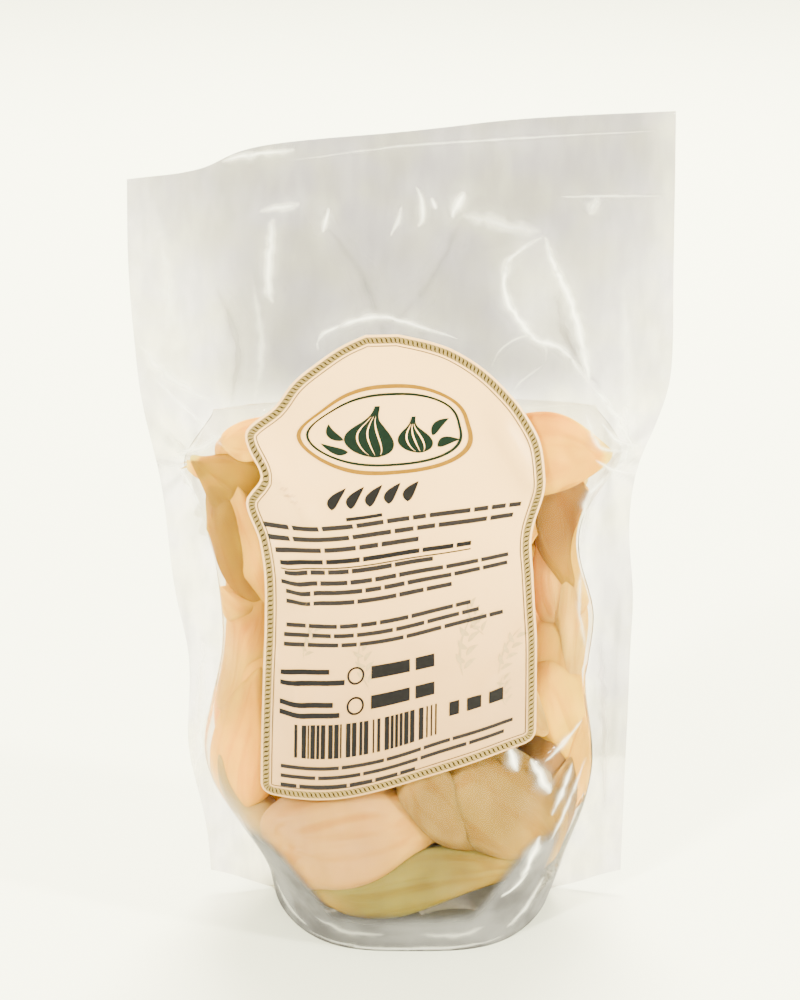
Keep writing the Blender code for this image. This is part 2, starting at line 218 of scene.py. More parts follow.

# Creases of the film, in millimetres: points (across, up), height, width, and how strong the painted glint
# along the fold is.
FRONT_CREASES = [
    ([(30.5, 161), (23.5, 156), (22.0, 150), (24, 144.5), (29, 138.5), (35.5, 135.5), (41.5, 127.5)],
     1.1, 1.2, 0.95),
    ([(30.5, 161), (32.5, 155), (36.5, 146.5), (39, 138.5), (40.5, 131), (41.5, 127.5)], 1.0, 1.3, 1.0),
    ([(41.5, 127.5), (46, 122.5), (49.5, 117), (52, 111)], 0.9, 1.5, 0.9),
    ([(40.5, 121.5), (44, 113.5), (52, 111)], 0.5, 0.9, 0.5),
    ([(-18.5, 136.5), (-17.5, 140), (-12.5, 142.5), (-5, 144), (4, 141.5), (12.5, 138.5)], 0.6, 0.8, 0.75),
    ([(-27.4, 165.5), (-28.1, 160), (-28.7, 151.4), (-27.9, 147)], 0.6, 1.5, 0.7),
    ([(-30.5, 166.6), (-26, 167.6), (-21.6, 168.2)], 0.3, 1.3, 0.55),
    ([(-15.7, 167.4), (-16.2, 165), (-17.0, 162)], 0.5, 0.7, 0.8),
    ([(-0.1, 167.4), (-1.0, 164), (-2.6, 161)], 0.5, 0.7, 0.5),
    ([(3.0, 171.5), (4.0, 168.6), (4.4, 165.2), (3.4, 162.8)], 0.5, 0.9, 0.7),
    ([(6.2, 169.0), (7.2, 166.4)], 0.4, 1.0, 0.8),
    ([(13.4, 170.2), (11.9, 167.4), (10.4, 164.6)], 0.5, 1.7, 1.0),
    ([(12.5, 165.4), (20.6, 163.3), (30.1, 161.0)], 0.6, 2.6, 0.4),
    ([(-38.2, 177.4), (-34.3, 178.4), (-28, 179.2), (-22.3, 179.8)], 0.2, 1.0, 0.8),
    ([(42.0, 169.2), (41.2, 167.4), (40.0, 165.2)], 0.4, 1.8, 0.45),
    ([(-58.1, 137.4), (-51.1, 130.6), (-41.4, 124.2)], 0.6, 2.2, 0.45),
    ([(-55.5, 131.5), (-47, 122.5), (-39.5, 114.5)], 0.7, 1.1, 0.5),
    ([(-50.5, 108.5), (-45.5, 98)], 0.6, 1.2, 0.8),
    ([(-51.5, 111.5), (-45, 113.5), (-39.8, 117.5)], 0.5, 1.6, 0.6),
    ([(-32, 152), (-30.5, 137.5), (-32.5, 124)], 0.7, 1.3, 0.30),
    ([(-34, 117), (-26.5, 107.5), (-19, 99.5)], 2.2, 2.4, 0.0),
    ([(-31, 96), (-24, 88), (-20, 80)], 1.5, 2.2, 0.0),
    ([(20, 122), (26, 112), (31, 104)], 1.6, 2.4, 0.0),
    ([(-30, 70), (-24, 62), (-22, 52)], 1.1, 2.4, 0.0),
    ([(16, 60), (24, 66), (30, 74)], 1.1, 2.6, 0.0),
    ([(48, 150), (50, 128), (49, 108)], 0.6, 2.4, 0.35),
    ([(-52, 164), (-50.5, 150), (-51.5, 138)], 0.4, 2.6, 0.30),
    ([(19.3, 131.9), (21.0, 135.5), (24.1, 138.1), (28.4, 139.0), (31.2, 136.4), (31.3, 132.6)],
     0.2, 0.5, 0.22),
    ([(31.3, 132.6), (28.6, 131.0), (25.8, 128.7), (23.7, 126.0)], 0.2, 0.5, 0.20),
    ([(-46.0, 66.5), (-47.3, 50.9), (-48.8, 35.2), (-49.2, 15)], 0.3, 2.0, 0.95),
    ([(24.2, 46.8), (25.2, 43.5), (26.4, 40.4)], 0.5, 1.1, 1.0),
    ([(29.3, 42.6), (32.1, 37.7), (34.2, 33.5)], 0.5, 1.4, 1.0),
    ([(39.6, 38.2), (37.2, 33.0), (34.4, 28.4)], 0.5, 1.0, 0.9),
    ([(31.6, 25.2), (29.6, 20.4), (27.2, 16.6)], 0.4, 1.5, 1.0),
    ([(29.0, 17.4), (26.0, 14.8), (22.4, 13.2)], 0.4, 0.8, 0.9),
    ([(33.8, 21.8), (37.8, 27.6), (43.0, 37.9)], 0.4, 0.8, 0.6),
    ([(32.7, 41.0), (37.4, 43.6), (42.2, 47.4)], 0.5, 0.8, 0.6),
    ([(-38.6, 30), (-34.5, 20), (-30.0, 11.0)], 0.3, 0.8, 0.35),
    ([(40.6, 96), (42.6, 102.6), (49.8, 108.7)], 0.5, 1.1, 0.7),
    ([(44, 119), (48.5, 114), (53.5, 112.5)], 0.4, 0.8, 0.7),
    ([(43, 110.5), (48, 107.0), (52.5, 106)], 0.4, 0.7, 0.7),
    ([(47.5, 120), (50.5, 114), (50, 108)], 0.4, 0.6, 0.5),
    ([(-44, 118.5), (-47, 113), (-52, 109.5)], 0.4, 0.8, 0.6),
    ([(-49.5, 108), (-53.5, 108), (-57, 110)], 0.3, 0.6, 0.6),
    ([(-22, 1.2), (-8, 0.9), (8, 0.9), (24, 1.4)], 0.0, 0.7, 0.50),
    ([(-30, 8), (-27, 4.0), (-22, 2.4)], 0.2, 1.0, 0.45),
    ([(-20, 6.6), (-12, 5.2), (-4, 5.4)], 0.2, 1.3, 0.30),
    ([(4, 5.4), (12, 4.4), (19, 5.8)], 0.2, 1.5, 0.30),
    ([(24, 3.6), (29, 7), (33, 13)], 0.2, 1.2, 0.55),
    ([(-24, 177.5), (-0.5, 180), (25, 181.5), (56, 183.5)], 0.0, 0.35, 0.40),
    ([(33.5, 169), (44, 169.3), (56, 169.5)], 0.0, 0.4, 0.45),
    ([(41.0, 86), (40.4, 76), (42.4, 64)], 0.4, 0.9, 0.35),
]
BACK_CREASES = [
    ([(-20, 168), (-9, 152), (-4, 138), (4, 128)], 0.25, 1.6, 0.3),
    ([(14, 166), (6, 150), (-4, 138)], 0.2, 1.6, 0.3),
    ([(-40, 150), (-36, 136), (-38, 122)], 0.25, 1.8, 0.5),
    ([(34, 152), (36, 138), (44, 126)], 0.3, 2.0, 0.6),
    ([(-52, 118), (-44, 104), (-42, 90)], 0.6, 1.2, 0.6),
    ([(50, 114), (43, 100), (40, 86)], 0.6, 1.2, 0.6),
    ([(-24, 34), (-31, 26), (-38, 20)], 0.6, 1.1, 0.8),
    ([(24, 34), (31, 26), (37, 20)], 0.6, 1.1, 0.8),
    ([(46, 66), (47.5, 46), (48.5, 20)], 0.3, 1.6, 0.7),
]

# The print, in millimetres from the flat label's middle and foot. Lines: across, up, width, height and mean
# length of a word. Sprigs: across, up, turn and size. Leaves: across, up and turn. Bulbs: across, up, half
# width and height, and the profile is their half width from root to neck.
SMALL_LINES = [(-28.5, 60.0, 55.0, 1.05, 6), (-28.5, 57.5, 55.0, 1.05, 8), (-27.5, 55.0, 32.0, 1.05, 8),
               (-26.0, 50.2, 34.0, 0.95, 7), (-27.0, 47.9, 52.5, 0.95, 7), (-26.0, 45.9, 52.5, 0.95, 8),
               (-26.0, 43.7, 38.0, 0.95, 6), (-26.0, 38.4, 43.0, 0.95, 7), (-26.5, 36.2, 46.0, 0.95, 7),
               (-26.5, 34.0, 50.0, 0.95, 7), (-26.5, 6.9, 52.0, 0.85, 9), (-26.5, 4.7, 50.0, 0.85, 8),
               (-26.5, 2.6, 30.0, 0.85, 7)]
SPRIGS = [(-7, 24, 100, 1.0), (14, 22, 80, 1.2), (22, 20, 60, 1.0), (19, 30, 110, 0.9), (-22, 31, 70, 0.8),
          (24, 11, 95, 0.8)]
LEAVES = [(-9.8, 76.5, 160), (-9.8, 79.0, 140), (9.2, 76.6, 12), (9.2, 79.2, 38)]
BULBS = [(-4.5, 75.2, 5.2, 11.0), (5.2, 75.6, 3.6, 8.0)]
BULB_PROFILE = [(0, 0.12), (0.04, 0.45), (0.12, 0.78), (0.28, 1.0), (0.45, 0.93), (0.6, 0.66), (0.72, 0.36),
                (0.84, 0.19), (1.0, 0.13)]
MEDALLION = (-1.0, 81.0)
CODE_BAR = 0.33
INKS = {
    "ink": (0.006, 0.0055, 0.006),
    "small_ink": (0.012, 0.010, 0.010),
    "green_ink": (0.0025, 0.008, 0.0045),
    "gold_ink": (0.150, 0.070, 0.002),
    "rope_ink": (0.014, 0.011, 0.005),
    "rope_khaki": (0.20, 0.135, 0.045),
    "sprig_ink": (0.33, 0.225, 0.105),
    "cream_ink": (0.78, 0.47, 0.20),
}

# Soft boxes: name, place, width and height in metres, and how bright the face is. All of them face one place.
SOFT_BOXES = [("soft_box_left", (-1.50, -1.50, 1.30), 0.15, 0.72, 500.0),
              ("soft_box_right", (1.65, -0.66, 0.70), 0.105, 0.90, 420.0),
              ("soft_box_behind", (0.10, 1.30, 1.90), 1.20, 0.70, 140.0)]
LIGHT_AIM = (0.0, 0.0, 0.10)

# How far apart the nodes of a material are set out.
NODE_WIDE = 220
NODE_TALL = 260


def smooth(t):
    """0 to 1 with soft ends, as t goes from 0 to 1."""
    t = min(1.0, max(0.0, t))
    return t * t * (3 - 2 * t)


def rise(value, low, high):
    """0 at low and 1 at high, with soft ends, and the other way round where high is the smaller."""
    return smooth((value - low) / (high - low))


def read(table, at):
    """The value of a table of (place, value) at a place, softly joined between its entries."""
    if at <= table[0][0]:
        return table[0][1]
    for i in range(len(table) - 1):
        low, low_value = table[i]
        high, high_value = table[i + 1]
        if at > high:
            continue
        before = table[max(i - 1, 0)]
        after = table[min(i + 2, len(table) - 1)]
        span = high - low
        slope_low = (high_value - before[1]) / (high - before[0]) * span
        slope_high = (after[1] - low_value) / (after[0] - low) * span
        t = (at - low) / span
        return (
            (2 * t ** 3 - 3 * t * t + 1) * low_value
            + (t ** 3 - 2 * t * t + t) * slope_low
            + (3 * t * t - 2 * t ** 3) * high_value
            + (t ** 3 - t * t) * slope_high
        )
    return table[-1][1]


def noise_at(x, z, wide, tall, seed):
    """Noise of about -1 to 1 at a place in millimetres, with clouds of the given width and height."""
    return noise.noise(Vector((x / wide, z / tall, seed)))


def deselect():
    if bpy.context.object and bpy.context.object.mode != "OBJECT":
        bpy.ops.object.mode_set(mode="OBJECT")
    bpy.ops.object.select_all(action="DESELECT")


def activate(piece):
    deselect()
    piece.select_set(True)
    bpy.context.view_layer.objects.active = piece


def edit_all(piece):
    """Opens a piece in edit mode with all of it selected."""
    activate(piece)
    bpy.ops.object.mode_set(mode="EDIT")
    bpy.ops.mesh.select_all(action="SELECT")


def leave_edit():
    bpy.ops.object.mode_set(mode="OBJECT")


def smooth_shaded(piece):
    activate(piece)
    bpy.ops.object.shade_smooth()
    return piece


def apply_modifiers(piece):
    activate(piece)
    for modifier in list(piece.modifiers):
        bpy.ops.object.modifier_apply(modifier=modifier.name)


def finish_piece(piece, material, node):
    """Gives a finished piece its material and body, and hides the CAD node that it stands for."""
    piece.data.materials.clear()
    piece.data.materials.append(material)
    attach(piece, "root")
    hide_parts(node)


def open_mesh(piece):
    """A piece's mesh, opened for changes in code."""
    bm = bmesh.new()
    bm.from_mesh(piece.data)
    bm.normal_update()
    return bm


def close_mesh(bm, piece):
    bm.to_mesh(piece.data)
    bm.free()


def new_piece(name, bm):
    """A new piece with the mesh that was built."""
    piece = bpy.data.objects.new(name, bpy.data.meshes.new(name))
    close_mesh(bm, piece)
    bpy.context.scene.collection.objects.link(piece)
    return piece


def attribute(piece, name, kind="FLOAT"):
    """The values of a new attribute of a piece's points, good until the next attribute is added."""
    return piece.data.attributes.new(name, kind, "POINT").data


def copy_of_node(node, name):
    """A merged copy of a CAD node's mesh, in quads where its triangles pair up."""
    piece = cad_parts[node].copy()
    piece.data = piece.data.copy()
    piece.name = name
    piece.data.name = name
    piece.parent = None
    for key in list(piece.keys()):
        del piece[key]
    bpy.context.scene.collection.objects.link(piece)
    edit_all(piece)
    bpy.ops.mesh.customdata_custom_splitnormals_clear()
    bpy.ops.mesh.remove_doubles(threshold=WELD)
    bpy.ops.mesh.tris_convert_to_quads(face_threshold=math.radians(70), shape_threshold=math.radians(70))
    leave_edit()
    return smooth_shaded(piece)


def sheet_pairs(mesh):
    """For each vertex the middle and half depth of the pouch at its place across and up."""
    cells_per_metre = 20000
    groups = {}
    for vert in mesh.vertices:
        key = (round(vert.co.x * cells_per_metre), round(vert.co.z * cells_per_metre))
        groups.setdefault(key, []).append(vert)
    pairs = {}
    for members in groups.values():
        low = min(vert.co.y for vert in members)
        high = max(vert.co.y for vert in members)
        for vert in members:
            pairs[vert.index] = ((low + high) / 2, (high - low) / 2)
    return pairs


def polyline_distance(points, x, z):
    """Millimetres from (x, z) to a line through points, and the share of its points before that place."""
    best, best_share = math.inf, 0.0
    last = len(points) - 1
    for i in range(last):
        ax, az = points[i]
        bx, bz = points[i + 1]
        dx, dz = bx - ax, bz - az
        t = ((x - ax) * dx + (z - az) * dz) / (dx * dx + dz * dz)
        t = min(1.0, max(0.0, t))
        away = math.hypot(x - ax - t * dx, z - az - t * dz)
        if away < best:
            best, best_share = away, (i + t) / last
    return best, best_share


def crease_height(creases, x, z):
    """How far the creases lift the film at a place in millimetres: sharp where a crease has a painted glint,
    rounded where not.
    """
    total = 0.0
    for points, height, width, white in creases:
        away, share = polyline_distance(points, x, z)
        if away > width * 5:
            continue
        ends = smooth(share / CREASE_END) * smooth((1 - share) / CREASE_END)
        profile = math.exp(-(away / width) ** 2) if white == 0 else math.exp(-away / width)
        total += height * profile * (0.25 + 0.75 * ends)
    return total


def ripple(x, z, seed):
    """Small uneven waves of the film, in millimetres."""
    return 0.45 * noise_at(x, z, 17, 21, seed) + 0.16 * noise_at(x, z, 6.5, 8.5, seed + 9)


def under_label(x, z):
    """1 well inside the label's outline, 0 outside it, with a soft edge."""
    left = -read(LABEL_LEFT, z)
    right = read(LABEL_RIGHT, z)
    inside = min(x - left, right - x, LABEL_TOP - z, z - read(LABEL_FOOT, x))
    return rise(inside, -1, 2)


def make_film():
    """The film: one thin closed envelope of the pouch's form, flat at its seals and creased where slack."""
    film = copy_of_node("pouch", "film")
    front = film.vertex_groups.new(name="front")
    room = film.vertex_groups.new(name="room")
    for index, (middle, half) in sheet_pairs(film.data).items():
        if half == 0:
            continue
        vert = film.data.vertices[index]
        side = vert.co.y - middle
        if side < 0:
            front.add([index], 1.0, "REPLACE")
        thinner = SEALED_HALF - FILM_HALF
        new_half = half - thinner * (1 - smooth((half - SEALED_HALF) / THIN_TO))
        room.add([index], smooth((new_half - FILM_HALF) / SLACK_TO), "REPLACE")
        vert.co.y = middle + side * new_half / half
    crease_sharp_edges(film)
    subdivide(film, 2)
    rough_up(film)
    swell(film)
    return film


def rough_up(film):
    """Creases and ripples: both sheets move together where they are welded, and each alone where slack."""
    front = film.vertex_groups["front"].index
    room = film.vertex_groups["room"].index
    attribute(film, "veil")
    gusset = attribute(film, "gusset")
    veil = film.data.attributes["veil"].data
    for vert in film.data.vertices:
        weight = {group.group: group.weight for group in vert.groups}
        x, z = vert.co.x / MM, vert.co.z / MM
        is_front = weight.get(front, 0) > 0.5
        slack = weight.get(room, 0)
        above_base = rise(z, 4, 12)
        upper = 0.25 + 0.75 * rise(z, 95, 125)
        together = 0.8 * ripple(x, z, FRONT_SEED)
        if is_front:
            calm = 1 - 0.7 * under_label(x, z)
            apart = crease_height(FRONT_CREASES, x, z) + ripple(x, z, FRONT_SEED) * upper * calm
            lift = apart * slack - together * (1 - slack)
            vert.co.y -= lift * above_base * MM
        else:
            apart = crease_height(BACK_CREASES, x, z) + ripple(x, z, BACK_SEED) * upper
            lift = apart * slack + together * (1 - slack)
            vert.co.y += lift * above_base * MM
        # The film's grey: its haze and painted shade.
        veil[vert.index].value = veil_at(x, z)
        folded = gusset_at(x, z if is_front else z - BACK_GUSSET_HIGHER)
        gusset[vert.index].value = max(folded, slack * rise(z, 12, 7))


def veil_at(x, z):
    """How grey the film looks, from its haze and from painted shade for the dim room seen through it: most
    over the air above the brine, less to the sides and in the big lens.
    """
    cloud = noise_at(x, z, 30, 60, 3.0) + 0.4 * noise_at(x, z, 9, 14, 7.0)
    over_air = rise(z, 117, 133)
    sides = rise(abs(x), 26, 50) * (1 - 0.75 * rise(z, 138, 182))
    side_loss = 0.44 if x < 0 else 0.32
    lens = math.exp(-((x - 29.5) / 6.5) ** 2 - ((z - 147) / 10) ** 2)
    grey = over_air * (0.63 - side_loss * sides - 0.32 * lens + 0.09 * cloud)
    grey *= 1 - 0.30 * rise(abs(x), 49, 58)
    # Painted highlight: the film is less grey in a soft halo round each crease that has a painted glint.
    halo = 0.0
    if over_air > 0:
        for points, _, _, white in FRONT_CREASES:
            away, _ = polyline_distance(points, x, z)
            halo = max(halo, white * math.exp(-away * away / 7))
    return min(1.0, max(0.0, grey * (1 - 0.14 * halo) + seal_folds(x, z) + 0.09))


def seal_folds(x, z):
    """Painted shade in the folded film beside the contents: grey rays from the drawn-out corners, and grey
    upright folds.
    """
    out, up = abs(x) - EAR_REACH, z - EAR_HEIGHT
    away = math.hypot(up, out)
    rays = max(0.0, math.sin(7.5 * math.atan2(up, out) + 1.2 + 1.5 * noise_at(x, z, 6, 6, 31.0)))
    rays *= rise(away, 0, 3) * rise(away, 24, 8)
    upright = math.exp(-((abs(x) - 49.8) / 0.8) ** 2) * rise(z, 34, 38) * rise(z, 84, 72)
    above_gusset = rise(z, 34.9, 35.9) * rise(z, 112, 72) if x > 0 else 0.0
    edge = rise(abs(x), 53.5, 55) * rise(z, 60, 80) * rise(z, 125, 105)
    return rise(abs(x), 42, 46) * (0.17 * rays + 0.15 * upright + 0.18 * above_gusset + 0.06 * edge)


def gusset_at(x, z):
    """How much the crumpled base film hides what is behind it: all of it at the foot, and none above."""
    top = 9.5 + 15 * rise(abs(x), 13, 31) + 1.6 * noise_at(x, 0.0, 9, 1, 21.0)
    reach = 28 + 0.38 * z
    return rise(z, top + 1.5, top - 3.5) * rise(abs(x), reach + 2, reach - 2)


def swell(piece):
    """Lets the pouch bulge a little more at its lower left, where the photograph shows a fuller side."""
    for vert in piece.data.vertices:
        x, z = vert.co.x / MM, vert.co.z / MM
        share = rise(x, -14, -34) * rise(x, -58, -46) * math.exp(-((z - 38) / 15) ** 2) * rise(z, 0, 6)
        vert.co.x -= FULLER * share * MM


def crease_sharp_edges(piece):
    """Keeps a piece's sharp edges sharp under subdivision."""
    activate(piece)
    bpy.ops.object.mode_set(mode="EDIT")
    bpy.ops.mesh.select_mode(type="EDGE")
    bpy.ops.mesh.select_all(action="DESELECT")
    bpy.ops.mesh.edges_select_sharp(sharpness=SHARP)
    bpy.ops.transform.edge_crease(value=1.0)
    leave_edit()


def subdivide(piece, levels):
    modifier = piece.modifiers.new("subdivision", "SUBSURF")
    modifier.levels = levels
    modifier.render_levels = levels
    apply_modifiers(piece)


def make_brine():
    """The brine and all that it holds: the pouch's form inside the film, cut level at the top."""
    brine = copy_of_node("pouch", "brine")
    flat = set()
    for index, (middle, half) in sheet_pairs(brine.data).items():
        if half == 0:
            continue
        vert = brine.data.vertices[index]
        new_half = half - SEALED_HALF * (1 - smooth((half - SEALED_HALF) / THIN_TO))
        if new_half < FLAT_LIMIT:
            new_half = 0.0
            flat.add(index)
        vert.co.y = middle + (vert.co.y - middle) * new_half / half
    bm = open_mesh(brine)
    sealed = [face for face in bm.faces if all(vert.index in flat for vert in face.verts)]
    bmesh.ops.delete(bm, geom=sealed, context="FACES")
    bmesh.ops.remove_doubles(bm, verts=bm.verts[:], dist=WELD)
    close_mesh(bm, brine)
    edit_all(brine)
    bpy.ops.mesh.bisect(plane_co=(0, 0, BRINE_LEVEL), plane_no=(0, 0, 1), use_fill=True, clear_outer=True)
    bpy.ops.mesh.select_all(action="SELECT")
    bpy.ops.mesh.normals_make_consistent(inside=False)
    bpy.ops.transform.shrink_fatten(value=-BRINE_INSET)
    leave_edit()
    crease_sharp_edges(brine)
    subdivide(brine, 2)
    swell(brine)
    return brine


def surface_of(piece):
    mesh = piece.data
    return BVHTree.FromPolygons([v.co for v in mesh.vertices], [p.vertices for p in mesh.polygons])


def clove_shape(name, bend, taper, belly):
    """One clove, a unit long and wide: a sphere tapered to a tip, bent to a crescent, flatter on one side."""
    deselect()
    bpy.ops.mesh.primitive_uv_sphere_add(segments=24, ring_count=16, radius=0.5)
    clove = bpy.context.object
    clove.name = name
    attribute(clove, "along")
    grain = attribute(clove, "grain", "FLOAT_VECTOR")
    along = clove.data.attributes["along"].data
    for vert in clove.data.vertices:
        height = vert.co.z + 0.5
        along[vert.index].value = height
        grain[vert.index].vector = (vert.co.x, vert.co.y, vert.co.z * 0.16)
        point = smooth((height - (1 - CLOVE_TIP)) / CLOVE_TIP)
        vert.co.x *= 1 - 0.35 * point
        vert.co.y *= 1 - 0.35 * point
        vert.co.z += 0.10 * point * point
        vert.co.z += 0.05 * smooth((CLOVE_HEEL - height) / CLOVE_HEEL)
        around = math.atan2(vert.co.y, vert.co.x)
        facet = 1 - 0.12 * math.cos(3 * around) * smooth(height / 0.3) * smooth((1.02 - height) / 0.4)
        rib = 1 + 0.022 * math.sin(7 * around + 4 * height) * smooth(height / 0.3)
        vert.co.x *= facet * rib
        vert.co.y *= facet * rib
        if vert.co.x < 0:
            vert.co.x *= belly
    deforms = (("TAPER", "Z", "factor", taper), ("BEND", "Y", "angle", math.radians(bend)))
    for method, axis, setting, value in deforms:
        change = clove.modifiers.new(method.lower(), "SIMPLE_DEFORM")
        change.deform_method = method
        change.deform_axis = axis
        setattr(change, setting, value)
    apply_modifiers(clove)
    return smooth_shaded(clove)


def make_cloves(brine):
    """The cloves in their layers, pressed against the film from inside, each with its own tint."""
    draw = random.Random(CLOVE_SEED)
    noise.seed_set(NOISE_SEED)
    shapes = [clove_shape(*values) for values in CLOVE_SHAPES]
    walls = surface_of(brine)
    placed = []
    for number, (x, z, layer, length, width, thick, tilt, tint) in enumerate(CLOVES):
        shape = shapes[number % len(shapes)]
        clove = shape.copy()
        clove.data = shape.data.copy()
        clove.name = f"clove_{number}"
        bpy.context.scene.collection.objects.link(clove)
        front = walls.ray_cast(Vector((x * MM, -0.1, z * MM)), Vector((0, 1, 0)))[0]
        back = walls.ray_cast(Vector((x * MM, 0.1, z * MM)), Vector((0, -1, 0)))[0]
        thick = min(thick, MOST_OF_ROOM * ((back.y - front.y) / MM))
        y = (front.y + back.y) / 2
        if layer < 0:
            y = front.y + (thick * PRESSED) * MM
        elif layer > 0:
            y = back.y - (thick * PRESSED) * MM
        size = [side * CLOVE_SCALE * MM for side in (width, thick, length)]
        roll = Matrix.Rotation(math.radians(draw.uniform(-28, 28)), 4, "Z")
        lean = Matrix.Rotation(math.radians(90 - tilt), 4, "Y")
        place = Matrix.Translation((x * MM, y, z * MM))
        clove.data.transform(place @ lean @ roll @ Matrix.Diagonal((*size, 1.0)))
        for vert in clove.data.vertices:
            vert.co += noise.noise_vector(vert.co * 55 + Vector((number * 3.7, 0, 0))) * 0.0013
            vert.co += noise.noise_vector(vert.co * 150 + Vector((0, number * 2.3, 0))) * 0.0003
        for item in attribute(clove, "gap"):
            item.value = FIRST_GAP + GAP_STEP * number
        for item in clove.data.attributes["grain"].data:
            item.vector = Vector(item.vector) + Vector((number * 1.7, 0, 0))
        tint_clove(clove, TINTS[tint], layer, draw)
        placed.append(clove)
    for shape in shapes:
        bpy.data.objects.remove(shape)
    deselect()
    for clove in placed:
        clove.select_set(True)
    bpy.context.view_layer.objects.active = placed[0]
    bpy.ops.object.join()
    cloves = bpy.context.object
    cloves.name = "garlic_cloves"
    cloves.data.name = "garlic_cloves"
    subdivide(cloves, 1)
    keep_inside(cloves, brine)
    relax(cloves)
    keep_inside(cloves, brine)
    return cloves


def tint_clove(clove, tint, layer, draw):
    """Colours a clove: near its tint, paler in the back layer, riper at its tip and drier at its heel."""
    base = [channel * draw.uniform(0.92, 1.08) for channel in tint]
    if layer > 0:
        base = [base[0] * 0.94, base[1] * 1.09, base[2] + 0.035 * base[0]]
    ripe = draw.uniform(0.1, 0.8)
    colour = clove.data.color_attributes.new("tint", "FLOAT_COLOR", "POINT")
    for place, item in zip(clove.data.attributes["along"].data, colour.data):
        tip = ripe * smooth((place.value - 0.55) / 0.45)
        heel = 0.35 * smooth((0.25 - place.value) / 0.25)
        shade = [low + (high - low) * tip for low, high in zip(base, TIP_TINT)]
        item.color = (*[low + (high - low) * heel for low, high in zip(shade, HEEL_TINT)], 1.0)


def relax(piece):
    """Evens out the small steps that pressing leaves."""
    edit_all(piece)
    bpy.ops.mesh.vertices_smooth(factor=0.5, repeat=2)
    leave_edit()


def keep_inside(piece, body):
    """Moves each point that is outside a body, or nearer to its skin than the point's own gap, inside it."""
    skin = surface_of(body)
    gaps = piece.data.attributes["gap"].data
    for _ in range(2):
        for vert in piece.data.vertices:
            gap = gaps[vert.index].value
            near, normal = skin.find_nearest(vert.co)[:2]
            if (near - vert.co).dot(normal) < gap:
                vert.co = near - normal * gap


def label_edge(table, foot, height):
    """Reach of one side of the label, with its lower corner rounded above a foot at the given height."""
    above = height - foot
    cut = 0.0
    if above < LABEL_CORNER:
        cut = LABEL_CORNER - math.sqrt(max(0.0, LABEL_CORNER ** 2 - (LABEL_CORNER - above) ** 2))
    return read(table, height) - cut


def label_place(across, up):
    """Front view place (x, z) in millimetres on the label: across runs from -1 to 1, and up from 0 to 1."""
    low_left = LABEL_FOOT[0][1]
    low_right = LABEL_FOOT[-1][1]
    left = -label_edge(LABEL_LEFT, low_left, low_left + (LABEL_TOP - low_left) * up)
    right = label_edge(LABEL_RIGHT, low_right, low_right + (LABEL_TOP - low_right) * up)
    x = left + (right - left) * (across + 1) / 2
    foot = read(LABEL_FOOT, x)
    return x, foot + (LABEL_TOP - foot) * up


def lay_on(piece, target, offset, turned=False):
    """Lays a flat piece, standing in front of the pouch or turned behind it, on a surface."""
    lay = piece.modifiers.new("lay", "SHRINKWRAP")
    lay.target = target
    lay.wrap_method = "PROJECT"
    lay.use_project_y = True
    lay.use_positive_direction = not turned
    lay.use_negative_direction = turned
    lay.wrap_mode = "ABOVE_SURFACE"
    lay.offset = offset
    apply_modifiers(piece)


def crowded(even):
    """Moves evenly spread places between 0 and 1 closer together at both ends."""
    return 0.4 * even + 0.6 * (1 - math.cos(math.pi * even)) / 2


def make_label(film):
    """The label's sheet, laid on the film, with the points of its back marked."""
    deselect()
    bpy.ops.mesh.primitive_grid_add(x_subdivisions=64, y_subdivisions=100, size=2)
    label = bpy.context.object
    label.name = "label_sheet"
    for vert in label.data.vertices:
        x, z = label_place(vert.co.x, crowded((vert.co.y + 1) / 2))
        vert.co = Vector((x * MM, -STAND_OFF, z * MM))
    smooth_shaded(label)
    lay_on(label, film, LABEL_OFF)
    thick = label.modifiers.new("thickness", "SOLIDIFY")
    thick.thickness = LABEL_THICK
    thick.offset = 1.0
    apply_modifiers(label)
    for vert, item in zip(label.data.vertices, attribute(label, "reverse")):
        item.value = 1.0 if vert.normal.y > 0 else 0.0
    return label


def crease_ribbons(creases):
    """Narrow uneven strips of painted glint along the creases that have one: each is its rows of (x, z), and
    how strong its glint is.
    """
    strips = []
    for points, _, width, white in creases:
        if white == 0:
            continue
        last = len(points) - 1
        count = max(14, 10 * last)
        tables = [[(i, point[axis]) for i, point in enumerate(points)] for axis in (0, 1)]
        rows = []
        for i in range(count + 1):
            at = last * i / count
            x, z = [read(table, at) for table in tables]
            ahead, behind = min(last, at + 0.05), max(0, at - 0.05)
            along = Vector([read(table, ahead) - read(table, behind) for table in tables])
            across = Vector((-along.y, along.x)).normalized()
            half = 0.42 * width * math.sin(math.pi * (0.06 + 0.88 * i / count)) ** 0.6
            half *= 0.9 + 0.6 * noise_at(x, z, 2.6, 2.6, 2.0)
            wander = 0.3 * width * noise_at(x, z, 2.2, 2.2, 8.0)
            x += across.x * wander
            z += across.y * wander
            rows.append([(x + across.x * half * k, z + across.y * half * k) for k, _ in RIBBON])
        strips.append((rows, white))
    return strips


def add_faces(bm, grid, turned=False):
    """Joins rows of points to faces."""
    for low, high in zip(grid, grid[1:]):
        for k in range(len(low) - 1):
            corners = (low[k], low[k + 1], high[k + 1], high[k])
            bm.faces.new(corners[::-1] if turned else corners)


